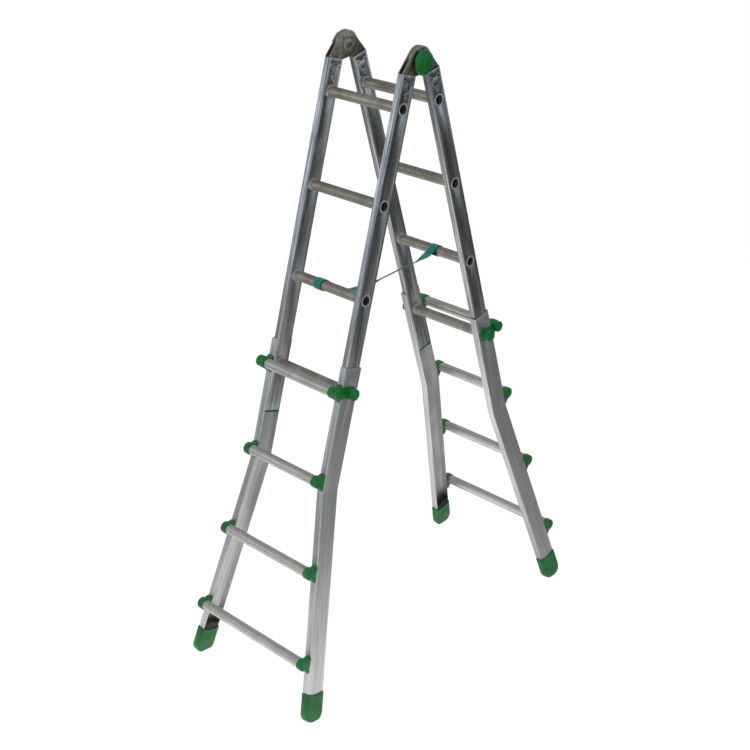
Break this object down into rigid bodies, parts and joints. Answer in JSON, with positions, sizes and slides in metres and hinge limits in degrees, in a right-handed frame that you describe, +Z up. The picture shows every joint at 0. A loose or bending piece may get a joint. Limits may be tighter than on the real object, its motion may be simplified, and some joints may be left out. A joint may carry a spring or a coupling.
{
  "type": "multi position ladder",
  "caption": "Folding telescopic ladder standing as an A-frame: hinged inner sections slide in flared outer sections with round rungs, lock knobs, rubber feet and a strap.",
  "frame": {"origin": "on the floor, in the middle of the four feet (bottom centre of the bounding box)", "axes": "+Z up, through the middle between the two legs; +X along the rungs, towards the right-hand stiles; -Y towards the front leg, +Y towards the rear leg"},
  "size_m": [0.561, 1.2194, 1.9636],
  "materials": {
    "inner_aluminium": "mill-finished extrusion, slightly streaked",
    "outer_aluminium": "mill-finished extrusion, matt",
    "rung_aluminium": "drawn tube with fine grip ribs",
    "green_plastic": "moulded, slight sheen",
    "black_plastic": "moulded",
    "hinge_steel": "zinc-plated",
    "rivet_steel": "zinc-plated",
    "spring_steel": "drawn wire",
    "strap_webbing": "woven polyester"
  },
  "bodies": {
    "front_inner": {"front_inner_stile_left": "inner_aluminium", "front_inner_stile_right": "inner_aluminium", "front_inner_rung_1": "rung_aluminium", "front_inner_rung_2": "rung_aluminium", "front_inner_rung_3": "rung_aluminium", "front_inner_rung_4": "rung_aluminium", "front_stile_end_plugs": "black_plastic", "front_hinge_left": "hinge_steel", "front_hinge_right": "hinge_steel", "front_hinge_rivets": "rivet_steel", "hinge_axles": "rivet_steel", "spread_strap": "strap_webbing"},
    "rear_inner": {"rear_inner_stile_left": "inner_aluminium", "rear_inner_stile_right": "inner_aluminium", "rear_inner_rung_1": "rung_aluminium", "rear_inner_rung_2": "rung_aluminium", "rear_inner_rung_3": "rung_aluminium", "rear_inner_rung_4": "rung_aluminium", "rear_stile_end_plugs": "black_plastic", "rear_hinge_left": "hinge_steel", "rear_hinge_right": "hinge_steel", "rear_hinge_rivets": "rivet_steel"},
    "front_outer": {"front_outer_stile_left": "outer_aluminium", "front_outer_stile_right": "outer_aluminium", "front_outer_rung_1": "rung_aluminium", "front_outer_rung_2": "rung_aluminium", "front_outer_rung_3": "rung_aluminium", "front_outer_rung_4": "rung_aluminium", "front_rung_saddles": "green_plastic", "front_rung_rivets": "rivet_steel", "front_foot_left": "green_plastic", "front_foot_right": "green_plastic", "front_lock_housings": "green_plastic", "front_lock_springs": "spring_steel"},
    "front_lock_left": {"front_lock_plunger_left": "rivet_steel", "front_lock_knob_left": "green_plastic"},
    "front_lock_right": {"front_lock_plunger_right": "rivet_steel", "front_lock_knob_right": "green_plastic"},
    "rear_outer": {"rear_outer_stile_left": "outer_aluminium", "rear_outer_stile_right": "outer_aluminium", "rear_outer_rung_1": "rung_aluminium", "rear_outer_rung_2": "rung_aluminium", "rear_outer_rung_3": "rung_aluminium", "rear_outer_rung_4": "rung_aluminium", "rear_rung_saddles": "green_plastic", "rear_rung_rivets": "rivet_steel", "rear_foot_left": "green_plastic", "rear_foot_right": "green_plastic", "rear_lock_housings": "green_plastic", "rear_lock_springs": "spring_steel"},
    "rear_lock_left": {"rear_lock_plunger_left": "rivet_steel", "rear_lock_knob_left": "green_plastic"},
    "rear_lock_right": {"rear_lock_plunger_right": "rivet_steel", "rear_lock_knob_right": "green_plastic"},
    "hinge_lock_left": {"hinge_release_knob_left": "green_plastic", "hinge_lock_pins_left": "rivet_steel"},
    "hinge_lock_right": {"hinge_release_knob_right": "green_plastic", "hinge_lock_pins_right": "rivet_steel"}
  },
  "joints": [
    {"name": "fold", "type": "hinge", "parent": "front_inner", "child": "rear_inner", "pos_m": [0, 0, 1.92363], "axis": [1, 0, 0], "range_deg": [-31.6, 148.4], "deforming": ["spread_strap"]},
    {"name": "front_extension", "type": "slide", "parent": "front_inner", "child": "front_outer", "axis": [0, 0.2723, 0.9622], "range_m": [0, 0.84]},
    {"name": "rear_extension", "type": "slide", "parent": "rear_inner", "child": "rear_outer", "axis": [0, -0.2723, 0.9622], "range_m": [0, 0.84]},
    {"name": "front_lock_left_slide", "type": "slide", "parent": "front_outer", "child": "front_lock_left", "axis": [1, 0, 0], "range_m": [0, 0.007], "deforming": ["front_lock_springs"]},
    {"name": "front_lock_right_slide", "type": "slide", "parent": "front_outer", "child": "front_lock_right", "axis": [-1, 0, 0], "range_m": [0, 0.007], "deforming": ["front_lock_springs"]},
    {"name": "rear_lock_left_slide", "type": "slide", "parent": "rear_outer", "child": "rear_lock_left", "axis": [1, 0, 0], "range_m": [0, 0.007], "deforming": ["rear_lock_springs"]},
    {"name": "rear_lock_right_slide", "type": "slide", "parent": "rear_outer", "child": "rear_lock_right", "axis": [-1, 0, 0], "range_m": [0, 0.007], "deforming": ["rear_lock_springs"]},
    {"name": "hinge_lock_left_slide", "type": "slide", "parent": "front_inner", "child": "hinge_lock_left", "axis": [1, 0, 0], "range_m": [0, 0.005]},
    {"name": "hinge_lock_right_slide", "type": "slide", "parent": "front_inner", "child": "hinge_lock_right", "axis": [-1, 0, 0], "range_m": [0, 0.005]}
  ]
}
